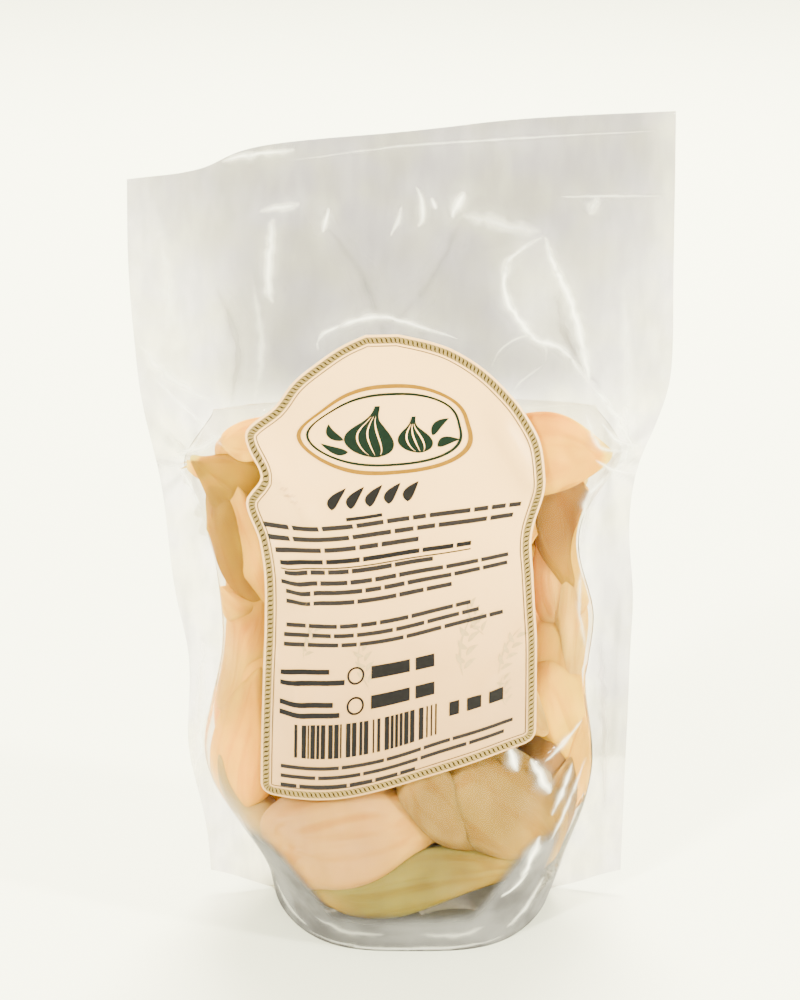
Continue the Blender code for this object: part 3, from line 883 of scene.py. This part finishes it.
def make_creases(film):
    """The painted glints along the creases of the front and the back film."""
    material = make_crease_material()
    sheets = (("front_creases", FRONT_CREASES, False), ("back_creases", BACK_CREASES, True))
    for name, creases, turned in sheets:
        bm = bmesh.new()
        soft = bm.verts.layers.float.new("soft")
        start_y = STAND_OFF / MM if turned else -STAND_OFF / MM
        for rows, white in crease_ribbons(creases):
            grid = []
            for i, row in enumerate(rows):
                ends = math.sin(math.pi * i / (len(rows) - 1)) ** 0.5
                grid.append([])
                for (x, z), (_, share) in zip(row, RIBBON):
                    vert = bm.verts.new(Vector((x, start_y, z)) * MM)
                    # Painted highlight: soft holds how strong the glint is at each point.
                    vert[soft] = white * share * ends
                    grid[-1].append(vert)
            add_faces(bm, grid, turned)
        piece = new_piece(name, bm)
        lay_on(piece, film, CREASE_OFF, turned)
        trim_and_turn(piece, turned)
        finish_piece(smooth_shaded(piece), material, "pouch")


def trim_and_turn(piece, turned):
    """Deletes what lies beside the pouch or at the floor, and turns faces that look into the pouch."""
    bm = open_mesh(piece)
    loose = [vert for vert in bm.verts if abs(vert.co.y) > STAND_OFF - MM or vert.co.z < FLOOR_GAP]
    bmesh.ops.delete(bm, geom=loose, context="VERTS")
    wrong = [face for face in bm.faces if (face.normal.y > 0) != turned]
    bmesh.ops.reverse_faces(bm, faces=wrong)
    close_mesh(bm, piece)


def print_piece(name, strips, label, offset):
    """One colour of the print, laid on the label: each strip is a list of rows of (x, z)."""
    bm = bmesh.new()
    for rows in strips:
        add_faces(bm, [[bm.verts.new((x * MM, -STAND_OFF, z * MM)) for x, z in row] for row in rows])
    piece = new_piece(name, bm)
    edit_all(piece)
    bpy.ops.mesh.remove_doubles(threshold=WELD / 2)
    leave_edit()
    lay_on(piece, label, offset)
    return smooth_shaded(piece)


def on_label(a, b):
    """Place (x, z) of a point a millimetres right of the flat label's middle and b above its foot."""
    return label_place(a / LABEL_HALF, b / LABEL_TALL)


def bar(a, b, width, height):
    """A straight printed bar from its lower left corner, in steps short enough to follow the label."""
    steps = max(2, math.ceil(width / 0.8))
    tall = max(1, math.ceil(height / 1.2))
    return [
        [on_label(a + width * i / steps, b + height * j / tall) for i in range(steps + 1)]
        for j in range(tall + 1)
    ]


def words(draw, a, b, width, height, mean):
    """A line of print as word-long bars."""
    bars = []
    end = a + width
    while a < end - 1.0:
        length = min(end - a, mean * draw.uniform(0.45, 1.6))
        bars.append(bar(a, b, length, height))
        a += length + height * 0.75
    return bars


def ellipse_strip(a, b, wide, tall, line, power=2.0):
    """A closed line round an oval, squarer with a higher power."""
    rows = []
    for i in range(97):
        turn = 2 * math.pi * i / 96
        x, y = [math.copysign(abs(c) ** (2 / power), c) for c in (math.cos(turn), math.sin(turn))]
        rows.append([on_label(a + (wide + k) * x, b + (tall + k) * y) for k in (line, 0.0)])
    return rows


def leaf(a, b, length, width, turn):
    """A pointed leaf from its stalk at (a, b), turned by degrees."""
    turn = math.radians(turn)
    rows = []
    for i in range(13):
        t = i / 12
        half = width / 2 * math.sin(math.pi * t ** 0.8) ** 0.9 if 0 < t < 1 else 0.0
        row = []
        for side in (-1.0, -0.33, 0.33, 1.0):
            along, off = length * t, half * side + 0.12 * length * math.sin(math.pi * t)
            row.append(on_label(a + along * math.cos(turn) - off * math.sin(turn),
                                b + along * math.sin(turn) + off * math.cos(turn)))
        rows.append(row)
    return rows


def bulb(a, b, wide, tall):
    """A garlic bulb's outline, filled, from its root to the neck."""
    rows = []
    for i in range(25):
        t = i / 24
        half = wide * read(BULB_PROFILE, t)
        rows.append([on_label(a + half * k / 4, b + tall * t) for k in range(-4, 5)])
    return rows


def bulb_seam(a, b, wide, tall, share):
    """A pale line up the bulb, between two of its cloves."""
    rows = []
    for i in range(17):
        t = 0.05 + 0.75 * i / 16
        middle = a + wide * read(BULB_PROFILE, t) * share
        half = 0.16 * math.sin(math.pi * i / 16) + 0.03
        rows.append([on_label(middle + k * half, b + tall * t) for k in (-1, 1)])
    return rows


def outline_loop():
    """Points once round the label, from the left end of its foot: up, over, down and back."""
    loop = [label_place(-1, crowded(i / 90)) for i in range(90)]
    loop += [label_place(-1 + 2 * i / 16, 1) for i in range(16)]
    loop += [label_place(1, crowded(1 - i / 90)) for i in range(90)]
    loop += [label_place(1 - 2 * i / 60, 0) for i in range(60)]
    return [Vector(point) for point in loop]


def border_path():
    """The label's outline in even steps: its places and the directions inwards from them."""
    loop = outline_loop()
    lengths = [0.0]
    for i in range(len(loop)):
        lengths.append(lengths[-1] + (loop[(i + 1) % len(loop)] - loop[i]).length)
    count = round(lengths[-1] / BORDER_STEP)
    places = []
    i = 0
    for k in range(count):
        at = lengths[-1] * k / count
        while lengths[i + 1] < at:
            i += 1
        t = (at - lengths[i]) / max(lengths[i + 1] - lengths[i], 1e-6)
        places.append(loop[i].lerp(loop[(i + 1) % len(loop)], t))
    inwards = []
    for k in range(count):
        ahead = places[(k + 3) % count] - places[k - 3]
        inwards.append(Vector((ahead.y, -ahead.x)).normalized())
    return places, inwards


def border_point(path, along, inside):
    """Place (x, z) at a share along the label's outline and a distance inside it, in millimetres."""
    places, inwards = path
    at = along % 1.0 * len(places)
    i = int(at) % len(places)
    j = (i + 1) % len(places)
    t = at - int(at)
    return tuple(places[i].lerp(places[j], t) + inwards[i].lerp(inwards[j], t) * inside)


def border_band(path, near, far):
    """A band along the label's outline, between two distances inside it."""
    count = len(path[0])
    steps = max(1, math.ceil((far - near) / 0.8))
    return [
        [border_point(path, k / count, far + (near - far) * j / steps) for j in range(steps + 1)]
        for k in range(count + 1)
    ]


def rope_strands(path):
    """The strands of the rope: slanted and bent, with soft ends, close beside each other."""
    whole = len(path[0]) * BORDER_STEP
    count = round(whole / STRAND_STEP)
    strips = []
    for k in range(count):
        rows = []
        for i in range(7):
            t = i / 6
            half = 0.19 * (0.35 + 0.65 * math.sin(math.pi * t))
            lean = 1.25 * (t - 0.5) + 0.20 * math.sin(2 * math.pi * t)
            inside = ROPE_NEAR + (ROPE_FAR - ROPE_NEAR) * t
            sides = [k / count + (lean + side * half) / whole for side in (1, -1)]
            rows.append([border_point(path, along, inside) for along in sides])
        strips.append(rows)
    return strips


def heavy_print(draw):
    """The heading, its underline, the data fields and a made-up bar code."""
    strips = [bar(-10.5, 61.8, 7.5, 0.8), bar(-26.8, 51.4, 43.5, 0.25)]
    strips += words(draw, -26.8, 52.4, 43.5, 1.0, 9)
    for k in range(5):
        strips.append(leaf(-13.2 + 3.9 * k, 64.4, 4.8, 2.5, 74))
    for a, b, width in ((-27.0, 27.8, 11.0), (-27.0, 25.4, 14.5), (-27.0, 20.8, 12.0), (-27.0, 18.6, 13.5)):
        strips.append(bar(a, b, width, 1.1))
    for b in (26.0, 19.6):
        strips += [bar(-6.5, b, 8.6, 2.9), bar(3.4, b, 4.2, 2.9)]
    for b in (27.2, 20.8):
        strips.append(ellipse_strip(-10.0, b, 1.5, 1.5, 0.45))
    a = -23.5
    while a < 8.4:
        width = CODE_BAR * draw.choice((1, 1, 2, 3))
        strips.append(bar(a, 9.6, width, 7.6))
        a += width + CODE_BAR * draw.choice((1, 1, 2, 3))
    strips += [bar(11.0, 13.2, 2.2, 3.4), bar(15.0, 13.2, 3.2, 3.2), bar(20.0, 13.2, 3.2, 3.2)]
    return strips


def small_print(draw):
    """The lines of small print, as bars as long as words."""
    strips = []
    for line in SMALL_LINES:
        strips += words(draw, *line)
    return strips


def sprigs():
    """Faint leaf sprigs on the label's lower part."""
    strips = []
    for a, b, turn, size in SPRIGS:
        across, up = math.cos(math.radians(turn)), math.sin(math.radians(turn))
        for k in range(7):
            side = 1 if k % 2 else -1
            along = (1.3 + 1.25 * k) * size
            strips.append(leaf(a + along * across, b + along * up, 2.8 * size, 0.95 * size, turn + side * 48))
        strips.append(leaf(a, b, 11.5 * size, 0.45 * size, turn))
    return strips


def make_print(label):
    """The label's print, one thin piece for each colour."""
    draw = random.Random(PRINT_SEED)
    path = border_path()
    outer = [ellipse_strip(*MEDALLION, 18.0, 9.0, 0.9, 2.4)]
    inner = [ellipse_strip(*MEDALLION, 16.3, 7.4, 0.55, 2.4)]
    bulbs = [bulb(*values) for values in BULBS]
    seams = [bulb_seam(*values, share) for share in (-0.45, 0.0, 0.45) for values in BULBS]
    leaves = [leaf(a, b, 5.5, 1.8, turn) for a, b, turn in LEAVES]
    inks = {name: make_print_material(f"label_{name}", colour) for name, colour in INKS.items()}
    parts = [
        ("print_sprigs", sprigs(), "sprig_ink", 0.00007),
        ("print_heading_and_code", heavy_print(draw), "ink", 0.00011),
        ("print_small_lines", small_print(draw), "small_ink", 0.00011),
        ("print_medallion_rim", outer, "gold_ink", 0.00011),
        ("print_medallion_line", inner + bulbs + leaves, "green_ink", 0.00011),
        ("print_bulb_seams", seams, "cream_ink", 0.00016),
        ("print_rope", [border_band(path, ROPE_NEAR, ROPE_FAR)], "rope_khaki", 0.00008),
        ("print_rope_line", [border_band(path, LINE_NEAR, LINE_FAR)], "small_ink", 0.00010),
        ("print_rope_strands", rope_strands(path), "rope_ink", 0.00014),
    ]
    for name, strips, ink, offset in parts:
        finish_piece(print_piece(name, strips, label, offset), inks[ink], "label")


def new_material(name):
    """A new material and its tree of nodes, still empty."""
    material = bpy.data.materials.new(name)
    material.use_nodes = True
    material.node_tree.nodes.clear()
    return material, material.node_tree


def give(tree, socket, value):
    """Joins a node's socket to another one, or sets it to a number, a vector or a colour."""
    if isinstance(value, bpy.types.NodeSocket):
        tree.links.new(value, socket)
    elif socket.type == "RGBA":
        socket.default_value = (*value, 1.0)
    else:
        socket.default_value = value


def add_node(tree, kind, **values):
    """Adds a node. Each value is for the property or the socket of that name, with _ for a blank."""
    node = tree.nodes.new("ShaderNode" + kind)
    for name, value in values.items():
        if hasattr(node, name):
            setattr(node, name, value)
        else:
            give(tree, node.inputs[name.replace("_", " ")], value)
    return node


def add_shader(tree, kind, **values):
    """Adds a shader node and returns what it puts out."""
    return add_node(tree, "Bsdf" + kind, **values).outputs["BSDF"]


def fill_in_order(tree, node, *values):
    """Gives a node's first sockets their values, where sockets share a name. Returns its output."""
    for socket, value in zip(node.inputs, values):
        give(tree, socket, value)
    return node.outputs[0]


def calculate(tree, operation, *values):
    return fill_in_order(tree, add_node(tree, "Math", operation=operation), *values)


def mix_shaders(tree, factor, low, high):
    return fill_in_order(tree, add_node(tree, "MixShader"), factor, low, high)


def mix_colours(tree, factor, low, high, blend="MIX"):
    """Mixes two colours by a factor, each a socket or a constant value. Returns the result's socket."""
    node = add_node(tree, "Mix", data_type="RGBA", blend_type=blend)
    for index, value in ((0, factor), (6, low), (7, high)):
        give(tree, node.inputs[index], value)
    return node.outputs[2]


def soft_step(tree, value, low, high, most=1.0):
    """0 where a value is at its low end, and the most at its high end, with soft ends."""
    node = add_node(tree, "MapRange", interpolation_type="SMOOTHSTEP")
    return fill_in_order(tree, node, value, low, high, 0.0, most)


def clouds(tree, scale, low, high, detail=3.0, stretch=(1, 1, 1)):
    """Noise on Object coordinates, spread from 0 at the low value to 1 at the high one."""
    place = add_node(tree, "TexCoord").outputs["Object"]
    turn = add_node(tree, "Mapping", Vector=place, Scale=stretch)
    cloud = add_node(tree, "TexNoise", Vector=turn.outputs["Vector"], Scale=scale, Detail=detail)
    return soft_step(tree, cloud.outputs["Fac"], low, high)


def painted(tree, name):
    """What the attribute of that name says at each point of the piece."""
    return add_node(tree, "Attribute", attribute_name=name).outputs


def add_bump(tree, height, strength, distance):
    return add_node(tree, "Bump", Height=height, Strength=strength, Distance=distance).outputs["Normal"]


def end_with(tree, shader):
    """Adds the output, and sets the nodes in columns, each to the left of what it feeds."""
    end = add_node(tree, "OutputMaterial", Surface=shader)
    column = {end.name: 0}
    waiting = [end]
    for node in waiting:
        for link in tree.links:
            source = link.from_node
            if link.to_node == node and column.get(source.name, -1) <= column[node.name]:
                column[source.name] = column[node.name] + 1
                waiting.append(source)
    filled = {}
    for node in tree.nodes:
        place = column[node.name]
        filled[place] = filled.get(place, 0) + 1
        node.location = (-NODE_WIDE * place, -NODE_TALL * filled[place])


def make_film_material():
    """Clear film: greyer by its haze and painted shade, glossy most at a slant, and grey where its base is
    crumpled, a grey that is partly painted shade.
    """
    material, tree = new_material("clear_film")
    veil = mix_colours(tree, painted(tree, "veil")["Fac"], (0.965, 0.957, 0.965), (0.28, 0.27, 0.305))
    brushed = clouds(tree, 330.0, 0.30, 0.70, 3.0, (1.0, 1.0, 0.35))
    mottle = mix_colours(tree, brushed, (0.915, 0.915, 0.925), (1.0, 1.0, 1.0))
    warm = clouds(tree, 75.0, 0.35, 0.68, 2.0)
    cast = mix_colours(tree, warm, (0.99, 0.97, 1.0), (1.0, 0.985, 0.925))
    streaked = mix_colours(tree, 1.0, veil, mottle, "MULTIPLY")
    clear = add_shader(tree, "Transparent", Color=mix_colours(tree, 1.0, streaked, cast, "MULTIPLY"))
    normal = add_bump(tree, clouds(tree, 260.0, 0.3, 0.7, 2.0), 0.10, 0.0006)
    gloss = add_shader(tree, "Anisotropic", Color=(1.0, 1.0, 1.0), Roughness=0.06, Normal=normal)
    slant = add_node(tree, "LayerWeight", Blend=0.5, Normal=normal).outputs["Facing"]
    share = add_node(tree, "MapRange", Value=calculate(tree, "POWER", slant, 6.0), To_Min=0.006, To_Max=0.70)
    coated = mix_shaders(tree, share.outputs["Result"], clear, gloss)
    # Painted shade: the crumpled foot is a dark grey that stands for the crumpled film and the shade on it.
    crumple = clouds(tree, 105.0, 0.34, 0.74, 4.0, (0.45, 1.0, 1.0))
    grey = mix_colours(tree, crumple, (0.074, 0.071, 0.076), (0.165, 0.163, 0.168))
    crumpled = add_shader(tree, "Diffuse", Color=grey)
    cover = add_node(tree, "MapRange", Value=painted(tree, "gusset")["Fac"], To_Max=0.86)
    end_with(tree, mix_shaders(tree, cover.outputs["Result"], coated, crumpled))
    return material


def make_crease_material():
    """Painted glints of folded film: pale in patches along the middle of a crease, and clear at its edges."""
    material, tree = new_material("creased_film")
    share = calculate(tree, "MULTIPLY", painted(tree, "soft")["Fac"], clouds(tree, 240.0, 0.16, 0.50))
    milk = add_shader(tree, "Principled", Base_Color=(0.95, 0.95, 0.90), Roughness=0.15)
    end_with(tree, mix_shaders(tree, share, add_shader(tree, "Transparent"), milk))
    return material


def make_brine_material():
    """Clear, faintly yellow brine that bends light; light reaches what it holds as through clear air."""
    material, tree = new_material("brine")
    wet = add_shader(tree, "Glass", Color=(0.985, 0.965, 0.92), Roughness=0.02, IOR=1.08)
    clear = add_shader(tree, "Transparent", Color=(0.985, 0.97, 0.93))
    ray = add_node(tree, "LightPath").outputs
    lighting = calculate(tree, "MAXIMUM", ray["Is Shadow Ray"], ray["Is Diffuse Ray"])
    end_with(tree, mix_shaders(tree, lighting, wet, clear))
    return material


def make_clove_material():
    """Pickled garlic: soft translucent flesh in its tint, with paler and browner clouds and fine veins."""
    material, tree = new_material("pickled_garlic")
    pale = clouds(tree, 60.0, 0.40, 0.70)
    brown = clouds(tree, 42.0, 0.50, 0.78, 4.0)
    grain = painted(tree, "grain")["Vector"]
    fibres = add_node(tree, "TexNoise", Vector=grain, Scale=4.5, Detail=2.5, Distortion=0.7)
    veins = soft_step(tree, fibres.outputs["Fac"], 0.44, 0.70)
    colour = painted(tree, "tint")["Color"]
    for share, stain in ((pale, (1.10, 1.14, 1.3)), (brown, (0.70, 0.58, 0.45)), (veins, (0.85, 0.75, 0.58))):
        colour = mix_colours(tree, share, colour, stain, "MULTIPLY")
    normal = add_bump(tree, veins, 0.15, 0.0006)
    flesh = add_shader(tree, "Principled", Base_Color=colour, Roughness=0.45, IOR=1.08, Normal=normal,
                       Subsurface_Weight=0.35, Subsurface_Radius=(1.0, 0.65, 0.25), Subsurface_Scale=0.005)
    end_with(tree, flesh)
    return material


def make_paper_material():
    """Cream label paper, satin and faintly mottled, darker towards its foot by painted shade, and paler on
    its back.
    """
    material, tree = new_material("cream_label_paper")
    colour = mix_colours(tree, clouds(tree, 28.0, 0.28, 0.62), (0.60, 0.360, 0.140), (0.70, 0.420, 0.165))
    place = add_node(tree, "SeparateXYZ", Vector=add_node(tree, "TexCoord").outputs["Object"])
    # Painted shade: the paper darkens towards the label's foot.
    height = soft_step(tree, place.outputs["Z"], 0.050, 0.115)
    damp = mix_colours(tree, height, (0.64, 0.61, 0.60), (1.0, 1.0, 1.0))
    face = mix_colours(tree, 1.0, colour, damp, "MULTIPLY")
    both_sides = mix_colours(tree, painted(tree, "reverse")["Fac"], face, (0.86, 0.80, 0.60))
    normal = add_bump(tree, clouds(tree, 1400.0, 0.3, 0.7, 2.0), 0.08, 0.0001)
    paper = add_shader(tree, "Principled", Base_Color=both_sides, Roughness=0.42, Specular_IOR_Level=0.4,
                       Normal=normal)
    end_with(tree, paper)
    return material


def make_print_material(name, colour):
    """Printing ink that lies a little unevenly."""
    material, tree = new_material(name)
    thinner = tuple(channel * 1.25 for channel in colour)
    tone = mix_colours(tree, clouds(tree, 900.0, 0.35, 0.85, 2.0), colour, thinner)
    end_with(tree, add_shader(tree, "Principled", Base_Color=tone, Roughness=0.55, Specular_IOR_Level=0.05))
    return material


def make_floor():
    """A pale floor that runs back as far as the camera sees, and glows there for the camera alone."""
    deselect()
    bpy.ops.mesh.primitive_plane_add(size=40.0, location=(0, 0, 0))
    floor = bpy.context.object
    floor.name = "floor"
    material, tree = new_material("pale_floor")
    place = add_node(tree, "TexCoord").outputs["Object"]
    away = add_node(tree, "VectorMath", operation="LENGTH", Vector=place)
    far = soft_step(tree, away.outputs["Value"], 1.2, 5.0, 5.2)
    seen = calculate(tree, "MULTIPLY_ADD", far, add_node(tree, "LightPath").outputs["Is Camera Ray"], 0.3)
    glow = add_node(tree, "Emission", Color=(1.0, 0.99, 0.60), Strength=seen).outputs["Emission"]
    matte = add_shader(tree, "Diffuse", Color=(0.55, 0.57, 0.51))
    end_with(tree, fill_in_order(tree, add_node(tree, "AddShader"), matte, glow))
    floor.data.materials.append(material)


def add_soft_box(name, place, width, height, glow):
    """A soft box that faces the pouch: glow is how bright its face is."""
    light = bpy.data.lights.new(name, "AREA")
    light.shape = "RECTANGLE"
    light.size = width
    light.size_y = height
    light.energy = glow * 4 * width * height
    light.color = (1.0, 0.96, 0.74)
    lamp = bpy.data.objects.new(name, light)
    bpy.context.scene.collection.objects.link(lamp)
    lamp.location = place
    lamp.rotation_euler = (Vector(LIGHT_AIM) - Vector(place)).to_track_quat("-Z", "Y").to_euler()


def make_lights():
    """An even pale room, dimmer behind the camera, with soft boxes at the left, the right and behind."""
    world = bpy.data.worlds.new("studio")
    bpy.context.scene.world = world
    world.use_nodes = True
    tree = world.node_tree
    direction = add_node(tree, "SeparateXYZ", Vector=add_node(tree, "TexCoord").outputs["Generated"])
    back = add_node(tree, "MapRange", Value=direction.outputs["Y"], From_Min=-0.9, From_Max=0.3)
    room = mix_colours(tree, back.outputs["Result"], (0.42, 0.40, 0.28), (1.0, 0.96, 0.68))
    camera_ray = add_node(tree, "LightPath").outputs["Is Camera Ray"]
    sky = tree.nodes["Background"]
    give(tree, sky.inputs["Color"], mix_colours(tree, camera_ray, room, (1.62, 1.61, 0.98)))
    give(tree, sky.inputs["Strength"], 4.9)
    for values in SOFT_BOXES:
        add_soft_box(*values)


def make_camera():
    camera = bpy.data.cameras.new("camera")
    camera.lens = CAMERA_LENS
    camera.sensor_width = CAMERA_SENSOR
    camera.clip_start = 0.01
    holder = bpy.data.objects.new("camera", camera)
    bpy.context.scene.collection.objects.link(holder)
    away = Vector((0, -math.cos(CAMERA_TILT), math.sin(CAMERA_TILT))) * CAMERA_DISTANCE
    holder.location = CAMERA_AIM + away
    holder.rotation_euler = (math.pi / 2 - CAMERA_TILT, 0, 0)
    bpy.context.scene.camera = holder


make_camera()
film = make_film()
brine = make_brine()
finish_piece(film, make_film_material(), "pouch")
finish_piece(brine, make_brine_material(), "pouch")
make_creases(film)
cloves = make_cloves(brine)
finish_piece(cloves, make_clove_material(), "pouch")
label = make_label(film)
finish_piece(label, make_paper_material(), "label")
make_print(label)
make_floor()
make_lights()
